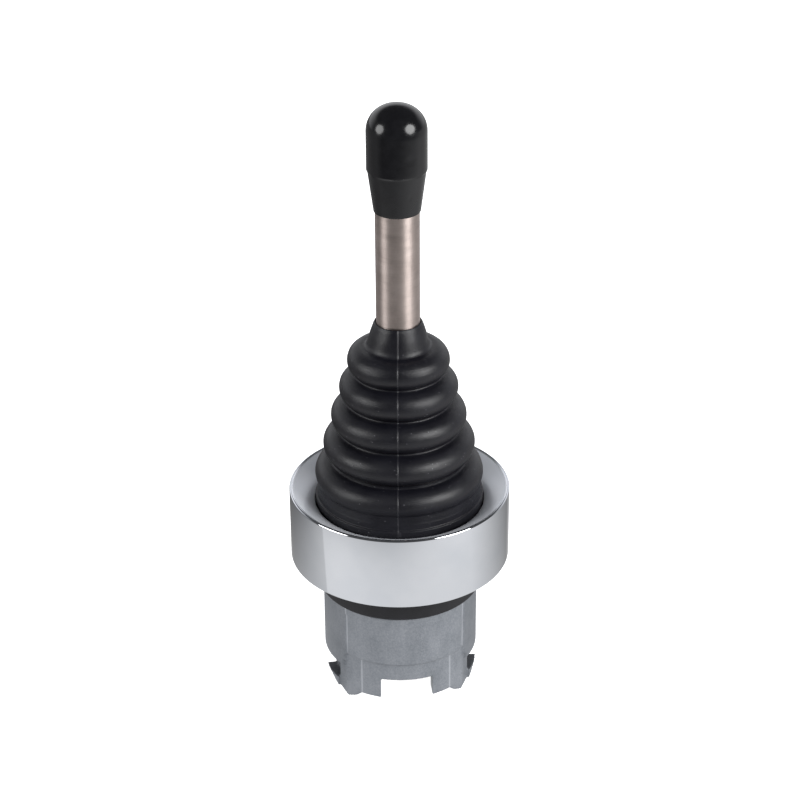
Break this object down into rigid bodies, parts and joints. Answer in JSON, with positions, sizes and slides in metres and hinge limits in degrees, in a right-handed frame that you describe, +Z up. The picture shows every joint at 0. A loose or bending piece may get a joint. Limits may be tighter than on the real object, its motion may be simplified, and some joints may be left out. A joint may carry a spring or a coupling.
{
  "type": "industrial joystick",
  "caption": "Panel-mount joystick head: tilting steel lever with black knob in a ringed rubber bellows, chromed bezel and die-cast shank.",
  "frame": {"origin": "centre of the panel seat, the underside of the gasket's flange", "axes": "+Z up the lever, -Y towards the front of the body, +X to the right seen from the front"},
  "size_m": [0.031, 0.031, 0.0873],
  "materials": {
    "knob_plastic": "moulded, glossy black",
    "brass": "turned",
    "stainless_steel": "fine turned, satin",
    "steel": "zinc plated",
    "spring_steel": "drawn wire",
    "guide_plastic": "moulded, natural",
    "zinc_casting": "die-cast, bare",
    "boot_rubber": "moulded, satin with dust",
    "gasket_rubber": "moulded, matte",
    "bezel_chrome": "polished"
  },
  "bodies": {
    "housing": {"body": "zinc_casting", "panel_gasket": "gasket_rubber", "bezel": "bezel_chrome", "boot": "boot_rubber", "boot_clamp_ring": "steel", "gate_plate": "steel", "gate_snap_ring": "spring_steel", "guide_plate": "guide_plastic", "guide_snap_ring": "spring_steel", "pivot_post": "steel", "post_screw": "steel", "plunger_spring_front": "spring_steel", "plunger_spring_right": "spring_steel", "plunger_spring_back": "spring_steel", "plunger_spring_left": "spring_steel"},
    "gimbal": {"cross_spider": "steel"},
    "lever": {"knob": "knob_plastic", "knob_insert": "brass", "lever_shaft": "stainless_steel", "shaft_pin": "steel", "pivot_fork": "steel", "rocker_plate": "steel"},
    "plunger_front": {"plunger_front": "guide_plastic"},
    "plunger_right": {"plunger_right": "guide_plastic"},
    "plunger_back": {"plunger_back": "guide_plastic"},
    "plunger_left": {"plunger_left": "guide_plastic"}
  },
  "joints": [
    {"name": "tilt_x", "type": "hinge", "parent": "housing", "child": "gimbal", "pos_m": [0, 0, -0.001], "axis": [1, 0, 0], "range_deg": [-12, 12], "stiffness_Nm_per_rad": 0.6},
    {"name": "tilt_y", "type": "hinge", "parent": "gimbal", "child": "lever", "pos_m": [0, 0, -0.001], "axis": [0, 1, 0], "range_deg": [-12, 12], "stiffness_Nm_per_rad": 0.6, "deforming": ["boot"]},
    {"name": "slide_front", "type": "slide", "parent": "housing", "child": "plunger_front", "axis": [0, 0, 1], "range_m": [-0.0014, 0.0014], "deforming": ["plunger_spring_front"]},
    {"name": "slide_right", "type": "slide", "parent": "housing", "child": "plunger_right", "axis": [0, 0, 1], "range_m": [-0.0014, 0.0014], "deforming": ["plunger_spring_right"]},
    {"name": "slide_back", "type": "slide", "parent": "housing", "child": "plunger_back", "axis": [0, 0, 1], "range_m": [-0.0014, 0.0014], "deforming": ["plunger_spring_back"]},
    {"name": "slide_left", "type": "slide", "parent": "housing", "child": "plunger_left", "axis": [0, 0, 1], "range_m": [-0.0014, 0.0014], "deforming": ["plunger_spring_left"]}
  ],
  "couplings": [
    {"joint": "slide_front", "follows": "tilt_x", "m_per_rad": -0.0063},
    {"joint": "slide_back", "follows": "tilt_x", "m_per_rad": 0.0063},
    {"joint": "slide_right", "follows": "tilt_y", "m_per_rad": -0.0063},
    {"joint": "slide_left", "follows": "tilt_y", "m_per_rad": 0.0063}
  ]
}
